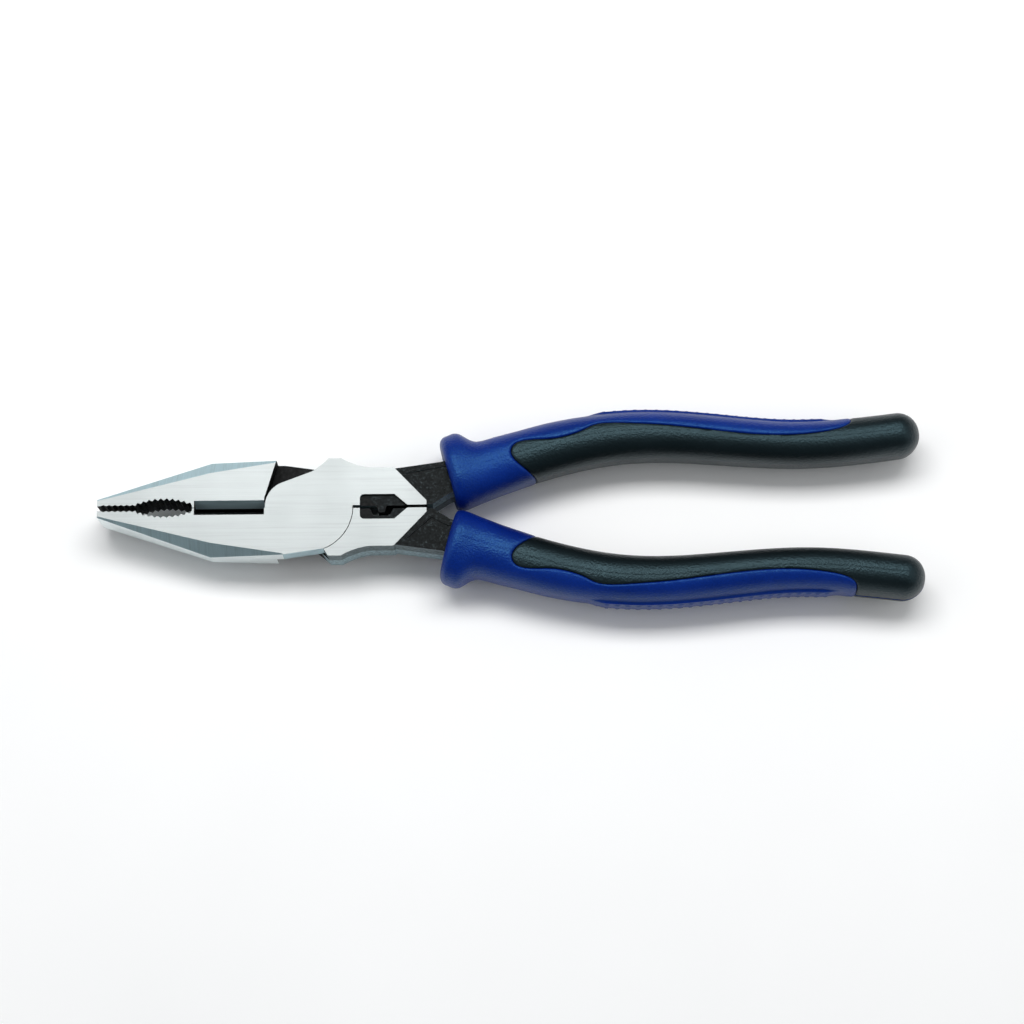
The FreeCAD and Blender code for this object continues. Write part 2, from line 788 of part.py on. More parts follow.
def main():
    doc = FreeCAD.newDocument("pliers")
    sheet = make_sheet(doc)
    size = {name: float(sheet.get(name)) for name in SIZES}
    front = make_half(doc, "plier_half_front", add_die_tooth, "0")
    back = make_half(doc, "plier_half_back", cut_die_nest, "rivet_clearance")
    back.Placement = Placement(Vector(0, 0, size["body_thickness"]), HALF_TURN)
    bind(back, Placement__Base__z="body_thickness")
    doc.recompute()
    parts = [front, back, make_rivet(doc)]
    parts += make_grip(doc, size, front, {"core": "grip_core_upper", "cover": "grip_cover_upper"})
    parts += make_grip(doc, size, back, {"core": "grip_core_lower", "cover": "grip_cover_lower"})
    doc.recompute()
    check(doc, parts)
    os.makedirs("parts", exist_ok=True)
    for part in parts:
        part.Shape.exportStep(f"parts/{part.Label}.step")


main()
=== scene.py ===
import math

import bpy
import numpy as np
from mathutils import Matrix, Vector


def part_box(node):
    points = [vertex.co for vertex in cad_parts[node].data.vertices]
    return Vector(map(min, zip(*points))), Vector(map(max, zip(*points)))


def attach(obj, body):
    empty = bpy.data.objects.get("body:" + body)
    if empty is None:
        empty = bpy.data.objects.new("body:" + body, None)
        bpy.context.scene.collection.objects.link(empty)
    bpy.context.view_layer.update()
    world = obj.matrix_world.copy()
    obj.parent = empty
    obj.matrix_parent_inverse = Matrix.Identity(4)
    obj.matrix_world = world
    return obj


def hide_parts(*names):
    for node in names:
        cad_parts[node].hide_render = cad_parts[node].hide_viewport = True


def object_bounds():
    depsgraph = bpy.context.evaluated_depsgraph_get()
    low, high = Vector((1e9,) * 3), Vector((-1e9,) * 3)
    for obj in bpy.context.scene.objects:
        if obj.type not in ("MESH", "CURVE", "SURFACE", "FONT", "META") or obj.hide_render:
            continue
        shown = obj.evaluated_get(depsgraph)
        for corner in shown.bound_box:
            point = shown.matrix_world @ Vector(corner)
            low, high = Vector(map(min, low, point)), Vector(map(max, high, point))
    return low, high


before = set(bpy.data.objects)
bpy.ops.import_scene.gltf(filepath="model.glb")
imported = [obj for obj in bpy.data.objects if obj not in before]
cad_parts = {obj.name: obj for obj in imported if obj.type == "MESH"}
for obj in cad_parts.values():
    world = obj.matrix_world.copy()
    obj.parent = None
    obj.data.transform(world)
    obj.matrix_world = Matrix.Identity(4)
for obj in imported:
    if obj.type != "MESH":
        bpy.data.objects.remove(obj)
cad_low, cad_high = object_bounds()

# Looks for a pair of side-cutting pliers. Lengths here are in millimetres in the CAD's own frame, and are
# turned into metres only where a mesh, light or camera is made.

MM = 0.001
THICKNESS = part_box("joint_rivet")[1].z / MM
MIDDLE = THICKNESS / 2
TAIL_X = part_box("grip_core_upper")[1].x / MM


# ---------------------------------------------------------------- shading nodes

# The two tones of a flank are painted shade: one side of the mid-thickness is darkened in the colour,
# where a drafted wall would be shaded by the light.
PAINTED_SHADE_BLEND = 0.25  # half the width of the change between a flank's dark and light sides
PAINTED_SHADE_SHARE = 0.34  # how bright the dark side is, as a share of the light one


class Shader:
    """A node material with a Principled shader, and short calls that add the nodes that feed it."""

    def __init__(self, name, color, metallic=0.0, roughness=0.5, **inputs):
        self.material = bpy.data.materials.new(name)
        self.material.use_nodes = True
        self.tree = self.material.node_tree
        self.shader = self.tree.nodes["Principled BSDF"]
        self.shader.inputs["Base Color"].default_value = (*color, 1)
        self.shader.inputs["Metallic"].default_value = metallic
        self.shader.inputs["Roughness"].default_value = roughness
        for key, value in inputs.items():
            self.shader.inputs[key.replace("_", " ")].default_value = value
        self.where = self.tree.nodes.new("ShaderNodeTexCoord").outputs["Object"]

    def link(self, source, target):
        self.tree.links.new(source, target)

    def mapped(self, scale):
        """The place on the object, scaled along each axis."""
        node = self.tree.nodes.new("ShaderNodeMapping")
        node.inputs["Scale"].default_value = scale
        self.link(self.where, node.inputs["Vector"])
        return node.outputs["Vector"]

    def noise(self, vector, detail=3.0, roughness=0.55):
        node = self.tree.nodes.new("ShaderNodeTexNoise")
        node.inputs["Scale"].default_value = 1.0
        node.inputs["Detail"].default_value = detail
        node.inputs["Roughness"].default_value = roughness
        self.link(vector, node.inputs["Vector"])
        return node.outputs["Fac"]

    def cells(self, vector):
        node = self.tree.nodes.new("ShaderNodeTexVoronoi")
        node.feature = "F1"
        node.inputs["Scale"].default_value = 1.0
        self.link(vector, node.inputs["Vector"])
        return node.outputs["Distance"]

    def span(self, value, low, high, to_low, to_high):
        """A value taken from one range to another, held inside it."""
        node = self.tree.nodes.new("ShaderNodeMapRange")
        self.link(value, node.inputs["Value"])
        node.inputs["From Min"].default_value = low
        node.inputs["From Max"].default_value = high
        node.inputs["To Min"].default_value = to_low
        node.inputs["To Max"].default_value = to_high
        return node.outputs["Result"]

    def maths(self, operation, first, second):
        node = self.tree.nodes.new("ShaderNodeMath")
        node.operation = operation
        for socket, value in zip(node.inputs, (first, second)):
            if isinstance(value, (int, float)):
                socket.default_value = value
            else:
                self.link(value, socket)
        return node.outputs["Value"]

    def ramp(self, value, *stops):
        """A colour that runs through the stops, each (position, (r, g, b))."""
        node = self.tree.nodes.new("ShaderNodeValToRGB")
        ramp = node.color_ramp
        while len(ramp.elements) < len(stops):
            ramp.elements.new(0.5)
        for element, (position, color) in zip(ramp.elements, stops):
            element.position = position
            element.color = (*color, 1)
        self.link(value, node.inputs["Fac"])
        return node.outputs["Color"]

    def painted_shade_side(self, color, painted_lit_side):
        """The colour, darkened on the other side of the mid-thickness plane: painted shade for one side of
        a wall.
        """
        axes = self.tree.nodes.new("ShaderNodeSeparateXYZ")
        self.link(self.where, axes.inputs["Vector"])
        height = self.maths("SUBTRACT", axes.outputs["Z"], MIDDLE * MM)
        reach = PAINTED_SHADE_BLEND * MM * painted_lit_side
        strength = self.span(height, -reach, reach, PAINTED_SHADE_SHARE, 1.0)
        node = self.tree.nodes.new("ShaderNodeVectorMath")
        node.operation = "SCALE"
        self.link(color, node.inputs[0])
        self.link(strength, node.inputs["Scale"])
        return node.outputs["Vector"]

    def base(self, color):
        self.link(color, self.shader.inputs["Base Color"])

    def rough(self, value):
        self.link(value, self.shader.inputs["Roughness"])

    def bump(self, height, strength, distance):
        node = self.tree.nodes.new("ShaderNodeBump")
        node.inputs["Strength"].default_value = strength
        node.inputs["Distance"].default_value = distance
        self.link(height, node.inputs["Height"])
        last = self.shader.inputs["Normal"]
        if last.is_linked:
            self.link(last.links[0].from_socket, node.inputs["Normal"])
        self.link(node.outputs["Normal"], last)


def grey(level, tint=(1.0, 1.0, 1.0)):
    """A grey with a slight tint, in linear light."""
    return tuple(level * part for part in tint)


COOL = (0.93, 1.0, 1.0)
STEEL_BLUE = (0.74, 1.0, 1.08)


def ground_steel(name, level, tint, grain, roughness, contrast, metallic=1.0):
    """Steel left by a grinding belt. grain is the scale along each axis: low along the scratches."""
    made = Shader(name, grey(level, tint), metallic=metallic, roughness=roughness)
    fine = made.noise(made.mapped(grain), detail=4.0, roughness=0.65)
    broad = made.noise(made.mapped(tuple(part * 0.45 for part in grain)), detail=2.0)
    patches = made.noise(made.mapped((55, 55, 55)), detail=2.0)
    streaks = made.maths("ADD", made.maths("MULTIPLY", fine, 0.6), made.maths("MULTIPLY", broad, 0.4))
    low = grey(level * (1 - contrast), tint)
    high = grey(min(level * (1 + contrast * 0.5), 0.97), tint)
    made.base(made.ramp(streaks, (0.3, low), (0.48, grey(level, tint)), (0.7, high)))
    marks = made.maths("MULTIPLY", made.maths("ADD", streaks, patches), 0.5)
    made.rough(made.span(marks, 0.3, 0.7, roughness * 0.8, roughness * 1.25))
    made.bump(streaks, 0.25, 0.00004)
    return made.material


def oxide_steel(name, level, roughness, coarse, depth, sparkle, metallic, painted_lit_side=0):
    """Forged steel under a black oxide: pitted, with bright worn points. With a lit side given, the wall's
    colour is darkened on one side of the forging's mid-thickness as painted shade, and left lighter on the
    other: 1 is towards the front."""
    color = grey(level, STEEL_BLUE)
    made = Shader(name, color, metallic=metallic, roughness=roughness, Specular_IOR_Level=0.15)
    pits = made.noise(made.mapped((coarse, coarse, coarse)), detail=5.0, roughness=0.7)
    lumps = made.cells(made.mapped((coarse * 0.45,) * 3))
    deep = grey(level * 0.5, STEEL_BLUE)
    worn = grey(level * sparkle, STEEL_BLUE)
    color = made.ramp(pits, (0.35, deep), (0.56, color), (0.68, worn))
    # painted shade: the flank darkened on one side of the mid-thickness
    if painted_lit_side:
        color = made.painted_shade_side(color, painted_lit_side)
    made.base(color)
    made.rough(made.span(pits, 0.3, 0.7, roughness * 1.2, roughness * 0.75))
    made.bump(pits, 0.8, depth)
    made.bump(lumps, 0.35, depth)
    return made.material


def moulded(name, color, light, roughness, pebble, gloss, sheen):
    """A moulded grip: a fine pebble over the whole surface, with slightly uneven colour and polish."""
    made = Shader(name, color, roughness=roughness, Specular_Tint=(*sheen, 1), Specular_IOR_Level=gloss)
    pebbles = made.cells(made.mapped((pebble, pebble, pebble)))
    fine = made.noise(made.mapped((pebble * 1.3,) * 3), detail=3.0, roughness=0.7)
    cloud = made.noise(made.mapped((70, 70, 70)), detail=3.0)
    mixed = made.maths("ADD", made.maths("MULTIPLY", cloud, 0.35), made.maths("MULTIPLY", fine, 0.65))
    made.base(made.ramp(mixed, (0.36, color), (0.66, light)))
    made.rough(made.span(cloud, 0.3, 0.7, roughness * 0.88, roughness * 1.12))
    made.bump(pebbles, 0.8, 0.00008)
    made.bump(fine, 0.8, 0.00008)
    return made.material


def make_materials():
    """Every material of the tool, by a short name."""
    along_x = (45, 2600, 2600)
    across = (2600, 90, 90)
    return {
        "face": ground_steel("ground_face", 0.36, COOL, along_x, 0.36, 0.18, 0.35),
        "bevel": ground_steel("ground_bevel", 0.54, STEEL_BLUE, across, 0.34, 0.22),
        "wall": ground_steel("ground_wall", 0.92, COOL, (140, 1800, 1800), 0.38, 0.10),
        "heel": ground_steel("heel_wall", 0.56, STEEL_BLUE, (300, 900, 900), 0.42, 0.2),
        "knife": ground_steel("knife_bevel", 0.60, STEEL_BLUE, (120, 2400, 2400), 0.55, 0.3, 0.3),
        # black oxide, which also stands as painted shade on the knife slot's other bevel and the die
        # pocket's walls
        "dark": oxide_steel("oxide_and_painted_shade", 0.003, 0.60, 1400, 0.00005, 2.0, 0.0),
        "forged": oxide_steel("oxide_forging", 0.005, 0.42, 1500, 0.00009, 4.5, 0.6),
        # the flanks: painted shade on one side, mirrored for the turned half
        "flank_painted_shade_front": oxide_steel("forging_flank", 0.50, 0.46, 1300, 0.00006, 1.3, 0.8, 1),
        "flank_painted_shade_back": oxide_steel("forging_flank_turned", 0.50, 0.46, 1300, 0.00006, 1.3, 0.8, -1),
        "core": moulded("grip_black", (0.0004, 0.0010, 0.0014), (0.0014, 0.0026, 0.0034), 0.40, 1900,
                        0.44, (0.50, 0.84, 0.97)),
        "cover": moulded("grip_blue", (0.0002, 0.0070, 0.115), (0.0006, 0.0150, 0.205), 0.40, 1900,
                         0.56, (0.20, 0.62, 1.0)),
    }


# ---------------------------------------------------------------- the forged halves


# where the finishes change on a forged half, in mm
NOSE_END = -54.7
KNIFE_START, KNIFE_END = -29.6, -11
JAW_END = -6
JAW_EDGE = -2.3
HEEL_EDGE = -2
JOINT_END = 3
JOINT_REACH = 12.3
NECK_START = 16.5
DIE_END = 28
DIE_TOP = 4.5
POINT_END = 31.4


def face_kind(centre, normal):
    """Which finish a face of a forged half has. The place is in the front half's own frame, in mm."""
    x, y, z = centre
    level = abs(normal.z)
    surface = min(abs(z), abs(THICKNESS - z))
    if level > 0.99 and surface < 0.02:
        return "face"
    if x > NECK_START:
        if level > 0.9 and x < DIE_END and y < DIE_TOP:
            return "forged"
        # the die pocket's walls: black oxide with painted shade
        if x < POINT_END and y < DIE_TOP and level < 0.5:
            return "dark"
        return "flank" if level < 0.4 else "forged"
    if x < JAW_END and y < JAW_EDGE and normal.y < -0.3:
        return "wall" if level < 0.35 else "bevel"
    if x < NOSE_END:
        return "wall"
    if KNIFE_START < x < KNIFE_END and normal.z < -0.25 and normal.y > 0.3:
        return "knife"
    if normal.y < -0.6 and y < HEEL_EDGE:
        return "heel"
    # what is left is dark: black oxide, with painted shade on the knife slot's other bevel
    return "flank" if x > JOINT_END and level < 0.4 and math.hypot(x, y) > JOINT_REACH else "dark"


def finish_half(name, turned, materials):
    """Gives each face of a forged half its finish."""
    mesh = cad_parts[name].data
    kinds = ["face", "bevel", "wall", "heel", "knife", "dark", "forged", "flank"]
    mesh.materials.clear()
    for kind in kinds[:-1]:
        mesh.materials.append(materials[kind])
    # the flank finish carries painted shade on one side of the mid-thickness
    mesh.materials.append(materials["flank_painted_shade_back" if turned else "flank_painted_shade_front"])
    for polygon in mesh.polygons:
        centre = polygon.center / MM
        normal = polygon.normal.copy()
        if turned:
            centre = Vector((centre.x, -centre.y, THICKNESS - centre.z))
            normal = Vector((normal.x, -normal.y, -normal.z))
        polygon.material_index = kinds.index(face_kind(centre, normal))


# ---------------------------------------------------------------- the grips

GUARD_CENTRE = (37.1, 8.1)
TAIL_RADIUS = 5.9
STOPS = np.array([
    GUARD_CENTRE,
    (43.2, 9.8),
    (63.2, 15.8),
    (87.3, 19.4),
    (129.2, 16.95),
    (TAIL_X - TAIL_RADIUS, 19.1),
])
GRIP_HALF_THICKNESS = 8.5
SQUARENESS = 2.35
AROUND = 176
STEP = 0.45
RIM_RADIUS = 2.2
RIM_STEPS = 12
TAIL_STEPS = 19
SEAM_HALF_ANGLE = 0.010
SEAM_DEPTH = 0.03

# the guard's front cap: (depth behind its foremost point, share of the first row's reach)
CAP = [(2.0, 0.02), (1.6, 0.25), (1.1, 0.45), (0.6, 0.6), (0.25, 0.7)]
CAP_INNER = 1.2  # how much further the cap reaches on the inner side
RIM_INNER = 0.35  # how much of the rim's rounding the inner side takes

# how far the grip reaches from its centreline: (length from the guard, reach), up to the tail
OUTER_REACH = [
    (0, 10.6), (1.5, 11.1), (3.2, 11.6), (4.6, 11.75), (6.0, 11.1), (7.6, 9.1), (9.0, 7.9),
    (10.8, 7.5), (14.8, 7.45), (21, 7.15), (29, 7.05), (37, 6.75), (46, 6.45), (61, 6.2),
    (76, 5.95), (86, 5.8), (101, 5.8), (107, 5.95),
]
INNER_REACH = [
    (0, 8.3), (2.0, 8.5), (3.7, 8.3), (6.7, 7.9), (12.2, 7.45), (21, 7.15), (29, 7.05),
    (37, 6.85), (46, 6.65), (61, 6.4), (76, 6.15), (86, 6.0), (106, 5.95),
]
THICKNESS_REACH = [
    (0, 9.8), (1.5, 9.95), (3, 9.85), (5, 9.35), (7.5, 8.85), (11, 8.5), (70, 8.5), (100, 8.2),
]
TAIL_THICKNESS_REACH = 8.1


def curve_through(knots, values, places):
    """A natural cubic spline through (knots, values), read at the places."""
    count = len(knots)
    gaps = np.diff(knots)
    system = np.eye(count)
    right = np.zeros(count)
    for i in range(1, count - 1):
        system[i, i - 1:i + 2] = gaps[i - 1], 2 * (gaps[i - 1] + gaps[i]), gaps[i]
        rise_after = (values[i + 1] - values[i]) / gaps[i]
        rise_before = (values[i] - values[i - 1]) / gaps[i - 1]
        right[i] = 6 * (rise_after - rise_before)
    bend = np.linalg.solve(system, right)
    spot = np.clip(np.searchsorted(knots, places) - 1, 0, count - 2)
    after = places - knots[spot]
    before = knots[spot + 1] - places
    gap = gaps[spot]
    curved = (bend[spot] * before**3 + bend[spot + 1] * after**3) / (6 * gap)
    from_start = values[spot] / gap - bend[spot] * gap / 6
    from_end = values[spot + 1] / gap - bend[spot + 1] * gap / 6
    return curved + from_start * before + from_end * after


def read_along(places, table, end, last):
    """The value at each place, in straight runs between the table's (place, value) and the last one."""
    table = np.array(table + [(end, last)], float)
    return np.interp(places, table[:, 0], table[:, 1])


def softened(values, reach):
    """The values averaged over their neighbours, with the ends held."""
    kernel = np.hanning(2 * reach + 3)[1:-1]
    kernel /= kernel.sum()
    padded = np.concatenate([np.full(reach, values[0]), values, np.full(reach, values[-1])])
    return np.convolve(padded, kernel, "valid")


class Handle:
    """The upper grip's whole outer surface as a grid: rows along the handle, columns round it. Column 0
    is the inner side, which faces the other handle."""

    def __init__(self):
        along = np.arange(GUARD_CENTRE[0], TAIL_X - TAIL_RADIUS, 0.02)
        height = curve_through(STOPS[:, 0], STOPS[:, 1], along)
        slope = np.gradient(height, along)
        length = np.concatenate([[0], np.cumsum(np.hypot(np.diff(along), np.diff(height)))])
        self.end = length[-1]
        self.axis = (length, along, height, slope)
        self.angles = np.linspace(0, 2 * math.pi, AROUND, endpoint=False)
        self.seam = np.zeros(AROUND)
        for quarter in (1, 3):
            crown = quarter * AROUND // 4
            self.seam[crown] = 1.0
            self.angles[[crown - 1, crown + 1]] = self.angles[crown] + np.array([-1, 1]) * SEAM_HALF_ANGLE
        self.rows = self.make_rows()

    def point_at(self, place):
        """The centreline's point and its unit direction at a length from the guard."""
        length, along, height, slope = self.axis
        inside = np.clip(place, 0, self.end)
        x = np.interp(inside, length, along)
        y = np.interp(inside, length, height)
        rise = np.interp(inside, length, slope)
        size = np.hypot(1, rise)
        way = np.stack([1 / size, rise / size], -1)
        return np.stack([x, y], -1) + way * (place - inside)[..., None], way

    def make_rows(self):
        """(place, outer reach, inner reach, thickness reach) of every row, from the guard's front cap,
        over its rim and along the handle to the tail."""
        places = np.arange(RIM_RADIUS + 0.2, self.end, STEP)
        outer = softened(read_along(places, OUTER_REACH, self.end, TAIL_RADIUS), 3)
        inner = softened(read_along(places, INNER_REACH, self.end, TAIL_RADIUS), 6)
        thick = softened(read_along(places, THICKNESS_REACH, self.end, TAIL_THICKNESS_REACH), 5)
        rows = []
        for depth, share in CAP:
            rows.append((depth, outer[0] * share, inner[0] * share * CAP_INNER, thick[0] * share))
        for angle in np.linspace(0.0, 1.0, RIM_STEPS) * math.pi / 2:
            drop = RIM_RADIUS * (1 - math.sin(angle))
            place = RIM_RADIUS * (1 - math.cos(angle))
            rows.append((place, outer[0] - drop, inner[0] - RIM_INNER * drop, thick[0] - drop))
        rows += list(zip(places, outer, inner, thick))
        for angle in np.linspace(0, math.pi / 2, TAIL_STEPS)[1:-1]:
            share = math.cos(angle)
            place = self.end + TAIL_RADIUS * math.sin(angle)
            rows.append((place, outer[-1] * share, inner[-1] * share, thick[-1] * share))
        return np.array(rows)

    def surface(self):
        """The grid's points."""
        place, outer, inner, thick = self.rows.T
        centre, way = self.point_at(place)
        cosine, sine = np.cos(self.angles), np.sin(self.angles)
        across = -np.sign(cosine) * np.abs(cosine) ** (2 / SQUARENESS)
        up = np.sign(sine) * np.abs(sine) ** (2 / SQUARENESS)
        reach = np.where(across[None, :] > 0, outer[:, None], inner[:, None]) * across[None, :]
        points = np.empty((len(place), AROUND, 3))
        points[..., 0] = centre[:, None, 0] - way[:, None, 1] * reach
        points[..., 1] = centre[:, None, 1] + way[:, None, 0] * reach
        points[..., 2] = MIDDLE + thick[:, None] * up[None, :]
        return points


# the border between the two colours on the front: (place along X, offset from the centreline as a share
# of the half width)
BORDER = [
    (58.2, -1.02), (57.0, -0.85), (55.6, -0.6), (54.2, -0.3), (53.5, -0.05), (53.6, 0.18), (54.6, 0.38),
    (56.6, 0.46), (60.0, 0.36), (64.4, 0.17), (68.9, 0.16), (72.4, 0.26), (74.8, 0.41), (77.2, 0.47),
    (80.8, 0.43), (86.9, 0.31), (99.6, 0.19), (109.0, 0.12), (118.3, 0.1), (127.4, 0.17), (135.3, 0.29),
    (139.7, 0.4), (142.2, 0.56), (143.3, 0.76), (143.5, 1.02),
]


def rounded(line, times):
    """A polyline with its corners cut again and again, which makes it smooth."""
    for _ in range(times):
        near = line[:-1] * 0.75 + line[1:] * 0.25
        far = line[:-1] * 0.25 + line[1:] * 0.75
        line = np.concatenate([line[:1], np.stack([near, far], 1).reshape(-1, 2), line[-1:]])
    return line


FAR_ALONG = 300  # a length past the handle's tail


def border_distance(handle, half_round):
    """How far each grid point lies inside the black core's field, in mm along the surface; it is
    negative on the cover."""
    border = rounded(np.array(BORDER), 3)
    share = np.clip(border[:, 1], -1, 1)
    angle = np.arccos(-np.sign(share) * np.abs(share) ** (SQUARENESS / 2))
    length, along, _, _ = handle.axis
    line = np.stack([np.interp(border[:, 0], along, length), angle / math.pi * half_round], -1)
    field = np.concatenate([line, [[FAR_ALONG, half_round], [FAR_ALONG, -1], [line[0, 0], -1]]])
    place = np.repeat(handle.rows[:, :1], AROUND, 1)
    turn = np.minimum(handle.angles, 2 * math.pi - handle.angles) / math.pi * half_round
    spots = np.stack([place, np.repeat(turn[None, :], len(place), 0)], -1).reshape(-1, 2)
    best = np.full(len(spots), 1e9)
    for start, end in zip(line[:-1], line[1:]):
        way = end - start
        share = np.clip(((spots - start) @ way) / max(way @ way, 1e-9), 0, 1)
        best = np.minimum(best, np.hypot(*(spots - start - share[:, None] * way).T))
    inside = np.zeros(len(spots), bool)
    for (x0, y0), (x1, y1) in zip(field, np.roll(field, -1, 0)):
        crosses = (y0 > spots[:, 1]) != (y1 > spots[:, 1])
        with np.errstate(divide="ignore", invalid="ignore"):
            inside ^= crosses & (spots[:, 0] < (x1 - x0) * (spots[:, 1] - y0) / (y1 - y0) + x0)
    return np.where(inside, best, -best).reshape(place.shape)


def grid_normals(points):
    """Outward unit normals of the grid."""
    down = np.gradient(points, axis=0)
    round_way = np.roll(points, -1, 1) - np.roll(points, 1, 1)
    normal = np.cross(down, round_way)
    size = np.linalg.norm(normal, axis=-1, keepdims=True)
    return normal / np.maximum(size, 1e-9)


BAND_START, BAND_END, BAND_HALF_WIDTH, BAND_HEIGHT = 40.5, 101.5, 3.15, 0.65
RIB_PITCH, RIB_HEIGHT = 2.6, 0.22


def step_up(values, edge, width):
    """0 below the edge and 1 above it, with a smooth rise of the given width."""
    part = np.clip((values - edge) / width + 0.5, 0, 1)
    return part * part * (3 - 2 * part)


def band_height(place, points, outer_side):
    """The raised band along the outer edge, with its low cross ribs."""
    beside = np.abs(points[..., 2] - MIDDLE)
    ends = step_up(place, BAND_START, 5.0) * step_up(-place, -BAND_END, 5.0)
    band = step_up(-beside, -BAND_HALF_WIDTH, 0.45) * ends * outer_side
    wave = np.cos(2 * math.pi * (place - BAND_START) / RIB_PITCH)
    ribs = step_up(wave, 0.25, 0.7) * step_up(-beside, -(BAND_HALF_WIDTH - 0.9), 0.5)
    return band * (BAND_HEIGHT + RIB_HEIGHT * ribs)


def rolled_edge(distance, radius):
    """How far the surface drops near the border, for a rounded edge of the given radius."""
    near = np.clip(1 - distance / radius, 0, 1)
    return radius * (1 - np.sqrt(1 - near * near)) * 0.8


def clipped_cells(distance):
    """The grid's cells cut along the border. Returns the cut points, each as (corner, corner, share), and
    the faces of either side, whose indices run on from the grid's own points."""
    rows, columns = distance.shape
    flat = distance.ravel()
    cuts, cut_of = [], {}
    faces = {"core": [], "cover": []}

    def cut_between(a, b):
        key = (min(a, b), max(a, b))
        if key not in cut_of:
            share = flat[key[0]] / (flat[key[0]] - flat[key[1]])
            cut_of[key] = rows * columns + len(cuts)
            cuts.append((key[0], key[1], share))
        return cut_of[key]

    for i in range(rows - 1):
        for j in range(columns):
            after = (j + 1) % columns
            loop = [i * columns + j, (i + 1) * columns + j, (i + 1) * columns + after, i * columns + after]
            signs = [flat[v] > 0 for v in loop]
            if all(signs) or not any(signs):
                faces["core" if signs[0] else "cover"].append(loop)
                continue
            sides = {"core": [], "cover": []}
            for k in range(4):
                v, w = loop[k], loop[(k + 1) % 4]
                sides["core" if signs[k] else "cover"].append(v)
                if signs[k] != signs[(k + 1) % 4]:
                    between = cut_between(v, w)
                    sides["core"].append(between)
                    sides["cover"].append(between)
            for side, outline in sides.items():
                if len(outline) > 2:
                    faces[side].append(outline)
    return cuts, faces


def closed_piece(name, top, bottom, faces):
    """A closed mesh from a set of faces: the top skin, and the bottom skin joined to it along its rim."""
    used = sorted({v for face in faces for v in face})
    place_of = {v: k for k, v in enumerate(used)}
    count = len(used)
    vertices = np.concatenate([top[used], bottom[used]]) * MM
    skins = [[place_of[v] for v in face] for face in faces]
    under = [[place_of[v] + count for v in reversed(face)] for face in faces]
    edges = dict.fromkeys(pair for face in skins for pair in zip(face, face[1:] + face[:1]))
    walls = [[b, a, a + count, b + count] for a, b in edges if (b, a) not in edges]
    mesh = bpy.data.meshes.new(name)
    mesh.from_pydata(vertices.tolist(), [], skins + under + walls)
    mesh.update()
    piece = bpy.data.objects.new(name, mesh)
    bpy.context.scene.collection.objects.link(piece)
    return piece


MEAN_HALF_WIDTH = 6.6  # the grip's half width, as it counts in the distance round it
NEAREST = 0.02  # the least distance that a grid point keeps from the border
EDGE_ROUNDING = 0.55
OUTER_HALF_ANGLE = 0.9
COVER_PROUD = 0.06
CORE_SUNK = 0.02
SKIN = 1.5


def grip_skins(handle):
    """The grid's final outer skins of both pieces, their inner skins, and the faces of either piece."""
    points = handle.surface()
    half_round = math.pi * math.hypot(MEAN_HALF_WIDTH, GRIP_HALF_THICKNESS) / math.sqrt(2)
    distance = border_distance(handle, half_round)
    distance[np.abs(distance) < NEAREST] = NEAREST
    cuts, faces = clipped_cells(distance)
    normals = grid_normals(points)
    place = np.repeat(handle.rows[:, :1], AROUND, 1)
    turn = np.abs(handle.angles - math.pi)[None, :]
    outer_side = step_up(-turn, -OUTER_HALF_ANGLE, 0.2)
    band = band_height(place, points, outer_side)

    def with_cuts(values):
        flat = values.reshape(-1, *values.shape[2:])
        first = np.array([c[0] for c in cuts])
        second = np.array([c[1] for c in cuts])
        share = np.array([c[2] for c in cuts])
        share = share[:, None] if flat.ndim > 1 else share
        return np.concatenate([flat, flat[first] * (1 - share) + flat[second] * share])

    spots = with_cuts(points)
    outward = with_cuts(normals)
    far = np.abs(with_cuts(distance))
    far[len(points.reshape(-1, 3)):] = 0
    raised = with_cuts(band - SEAM_DEPTH * handle.seam[None, :] * np.ones_like(band))
    drop = rolled_edge(far, EDGE_ROUNDING)
    fade = step_up(far, 0.8, 1.6)
    cover = spots + outward * (raised + COVER_PROUD * fade - drop)[:, None]
    core = spots + outward * (raised - drop - CORE_SUNK)[:, None]
    inner = spots - outward * SKIN
    return {"core": core, "cover": cover, "inner": inner}, faces


def close_ends(faces, rows):
    """Closes the cover's first row and the core's last row with one face each."""
    first = list(range(AROUND))
    last = [(rows - 1) * AROUND + j for j in range(AROUND)]
    faces["cover"].append(first)
    faces["core"].append(last[::-1])


def build_grip(handle, side, body, materials):
    """The two visible pieces of one grip. side is 'upper' or 'lower'."""
    skins, faces = grip_skins(handle)
    close_ends(faces, len(handle.rows))
    for kind in ("core", "cover"):
        piece = closed_piece(f"grip_{kind}_{side}_skin", skins[kind], skins["inner"], faces[kind])
        mesh = piece.data
        if side == "lower":
            mesh.transform(Matrix.Translation((0, 0, THICKNESS * MM)) @ Matrix.Rotation(math.pi, 4, "X"))
        mesh.materials.append(materials[kind])
        for polygon in mesh.polygons:
            polygon.use_smooth = True
        mesh.set_sharp_from_angle(angle=math.radians(50))
        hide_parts(f"grip_{kind}_{side}")
        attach(piece, body)


# ---------------------------------------------------------------- the stage

VIEW_TILT = 12.6
CAMERA_DISTANCE = 700.0
CAMERA_ROLL = -0.5
AIM = (53.5, -0.45, 6.25)
LENS = 93.5

FLOOR_GAP = 0.15
FLOOR_REACH = 3000.0
SKY = (0.92, 0.97, 1.0)
SKY_STRENGTH = 0.21
LIGHTS_AIM = (54, 0, 6)

# the soft boxes: name, place and size in mm, and power in watts
LIGHTS = [
    ("top_box", (54, 280, 700), (700, 240), 4.8),
    ("left_box", (-640, 0, 560), (800, 900), 2.0),
    ("right_box", (750, 0, 560), (800, 900), 2.0),
]


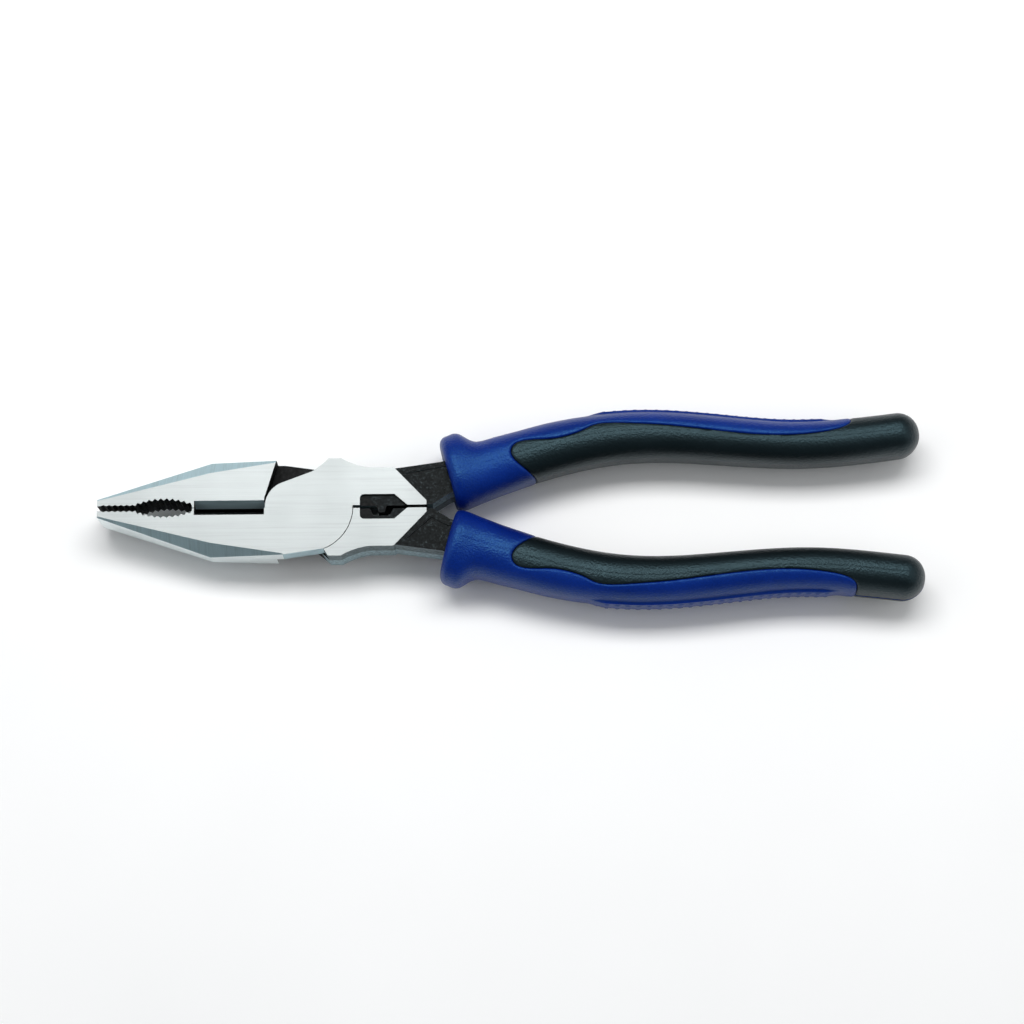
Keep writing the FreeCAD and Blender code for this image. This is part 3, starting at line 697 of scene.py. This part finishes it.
def make_camera():
    """The camera: almost straight down on the pliers, tilted towards the lower handle."""
    tilt = math.radians(VIEW_TILT)
    back = Vector((0, -math.sin(tilt), math.cos(tilt)))
    data = bpy.data.cameras.new("camera")
    data.sensor_width = 36.0
    data.lens = LENS
    data.clip_start = 0.01
    camera = bpy.data.objects.new("camera", data)
    bpy.context.scene.collection.objects.link(camera)
    camera.location = (Vector(AIM) + back * CAMERA_DISTANCE) * MM
    turn = (-back).to_track_quat("-Z", "Y").to_matrix().to_4x4()
    roll = Matrix.Rotation(math.radians(CAMERA_ROLL), 4, "Z")
    camera.rotation_mode = "QUATERNION"
    camera.rotation_quaternion = (turn @ roll).to_quaternion()
    bpy.context.scene.camera = camera


def area_light(name, place, size, power):
    """A soft box at a place in mm, aimed at the pliers."""
    data = bpy.data.lights.new(name, "AREA")
    data.shape = "RECTANGLE"
    data.size, data.size_y = (part * MM for part in size)
    data.energy = power
    light = bpy.data.objects.new(name, data)
    bpy.context.scene.collection.objects.link(light)
    light.location = Vector(place) * MM
    way = Vector(LIGHTS_AIM) - Vector(place)
    light.rotation_mode = "QUATERNION"
    light.rotation_quaternion = way.to_track_quat("-Z", "Y")


def make_stage():
    """A plain pale floor under the pliers, and soft studio light."""
    low = min(cad_low.z / MM, 0) - FLOOR_GAP
    reach = FLOOR_REACH
    mesh = bpy.data.meshes.new("floor")
    corners = [(-reach, -reach, low), (reach, -reach, low), (reach, reach, low), (-reach, reach, low)]
    mesh.from_pydata([Vector(c) * MM for c in corners], [], [(0, 1, 2, 3)])
    floor = bpy.data.objects.new("floor", mesh)
    bpy.context.scene.collection.objects.link(floor)
    paper = Shader("floor_paper", grey(0.93), roughness=0.9)
    clouds = paper.noise(paper.mapped((8, 8, 8)))
    paper.base(paper.ramp(clouds, (0.3, grey(0.92)), (0.7, grey(0.95))))
    mesh.materials.append(paper.material)
    world = bpy.data.worlds.new("studio")
    world.use_nodes = True
    background = world.node_tree.nodes["Background"]
    background.inputs["Color"].default_value = (*SKY, 1)
    background.inputs["Strength"].default_value = SKY_STRENGTH
    bpy.context.scene.world = world
    bpy.context.scene.view_settings.view_transform = "Standard"
    for light in LIGHTS:
        area_light(*light)


# ---------------------------------------------------------------- the scene

materials = make_materials()
make_camera()
make_stage()
finish_half("plier_half_front", False, materials)
finish_half("plier_half_back", True, materials)
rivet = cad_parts["joint_rivet"].data
rivet.materials.clear()
rivet.materials.append(materials["face"])
handle = Handle()
build_grip(handle, "upper", "front_half", materials)
build_grip(handle, "lower", "back_half", materials)
